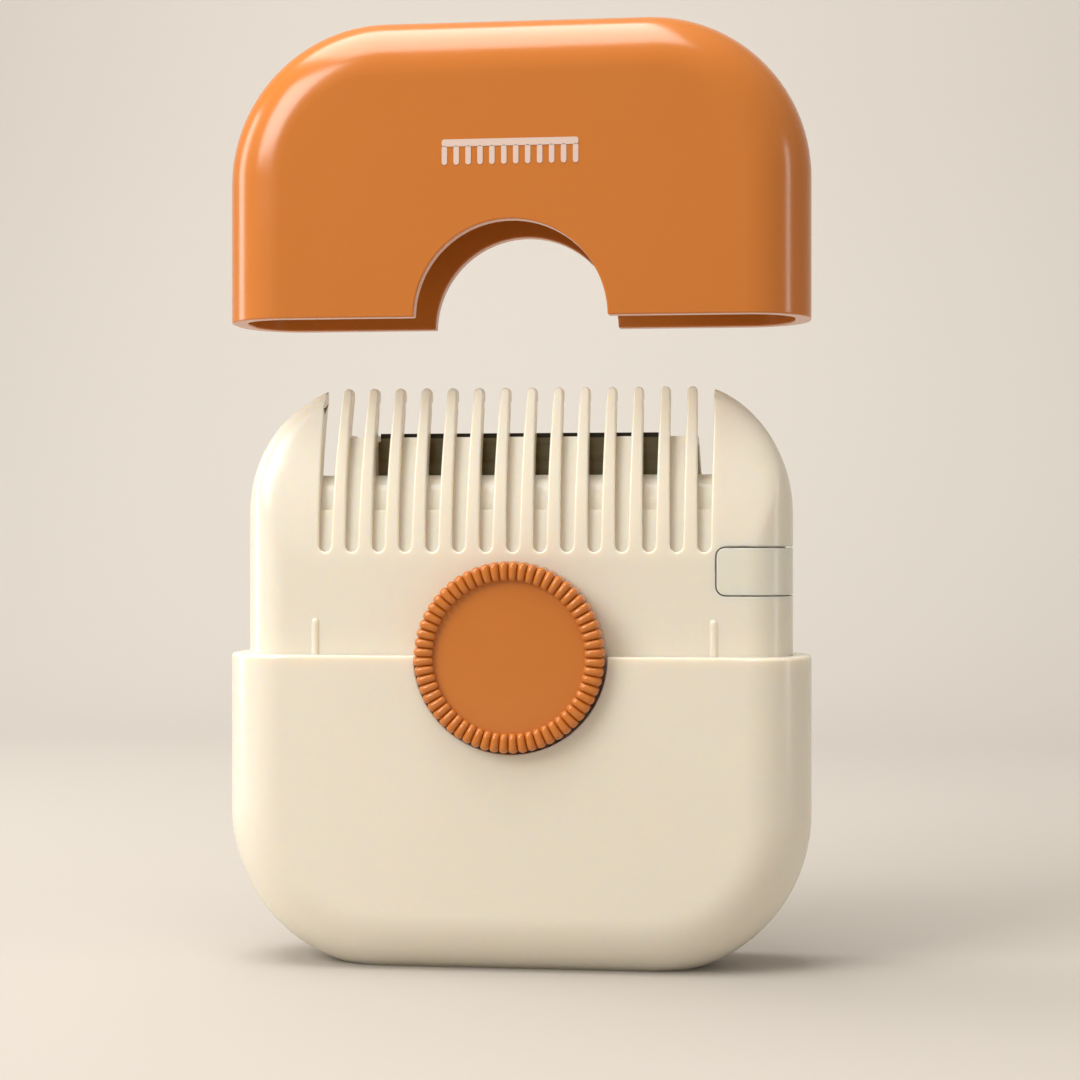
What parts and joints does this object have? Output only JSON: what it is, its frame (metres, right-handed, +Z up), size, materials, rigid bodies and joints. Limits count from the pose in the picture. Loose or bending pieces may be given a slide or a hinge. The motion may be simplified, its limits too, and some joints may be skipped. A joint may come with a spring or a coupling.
{
  "type": "razor comb hair trimmer",
  "caption": "Flat rounded hair trimmer: a slotted comb head, a flat razor blade raised behind the teeth by a beaded dial, and a lift-off cap with a round finger cutout.",
  "frame": {"origin": "middle of the flat base the trimmer stands on, at mid-depth", "axes": "+Z up through the comb to the cap, -Y out of the front face with the dial, +X towards the side latch"},
  "size_m": [0.087, 0.0245, 0.1404],
  "materials": {
    "cream_plastic": "glossy moulded cream plastic",
    "orange_plastic": "glossy moulded orange plastic",
    "white_plastic": "plain moulded inner plastic",
    "steel": "bright plated steel",
    "blade_steel": "dark polished blade steel"
  },
  "bodies": {
    "casing": {"front_shell": "cream_plastic", "rear_shell": "cream_plastic", "casing_screws": "steel", "hinge_pin": "steel", "detent_screw": "steel"},
    "cap": {"cap": "orange_plastic"},
    "dial": {"dial": "orange_plastic", "cam_disc": "white_plastic", "cam_screw": "steel", "thrust_washer": "steel"},
    "carriage": {"blade_carriage": "cream_plastic", "blade": "blade_steel", "blade_clamp": "white_plastic", "clamp_screws": "steel", "follower_pin": "steel"},
    "latch": {"side_latch": "cream_plastic", "latch_rod": "steel", "latch_clip": "steel", "latch_spring": "steel"},
    "door": {"blade_door": "cream_plastic"},
    "detent": {"detent_arm": "white_plastic", "detent_spring": "steel"}
  },
  "joints": [
    {"name": "cap_slide", "type": "slide", "parent": "casing", "child": "cap", "axis": [0, 0, 1], "range_m": [-0.0494, 0.02]},
    {"name": "dial_turn", "type": "hinge", "parent": "casing", "child": "dial", "pos_m": [0, -0.01, 0.0461], "axis": [0, 1, 0], "range_deg": [-90, 180]},
    {"name": "carriage_slide", "type": "slide", "parent": "casing", "child": "carriage", "axis": [0, 0, 1], "range_m": [-0.00201, 0.00401]},
    {"name": "latch_slide", "type": "slide", "parent": "casing", "child": "latch", "axis": [1, 0, 0], "range_m": [0, 0.0035], "stiffness_N_per_m": 100, "springref_m": -0.005, "deforming": ["latch_spring"]},
    {"name": "door_hinge", "type": "hinge", "parent": "casing", "child": "door", "pos_m": [0, 0.0073, 0.0505], "axis": [-1, 0, 0], "range_deg": [0, 90]},
    {"name": "detent_pivot", "type": "hinge", "parent": "casing", "child": "detent", "pos_m": [-0.014, -0.0046, 0.03115], "axis": [0, 1, 0], "range_deg": [0, 4], "stiffness_Nm_per_rad": 0.02, "springref_deg": -2.86, "deforming": ["detent_spring"]}
  ],
  "couplings": [
    {"joint": "carriage_slide", "follows": "dial_turn", "m_per_rad": 0.0012732}
  ]
}
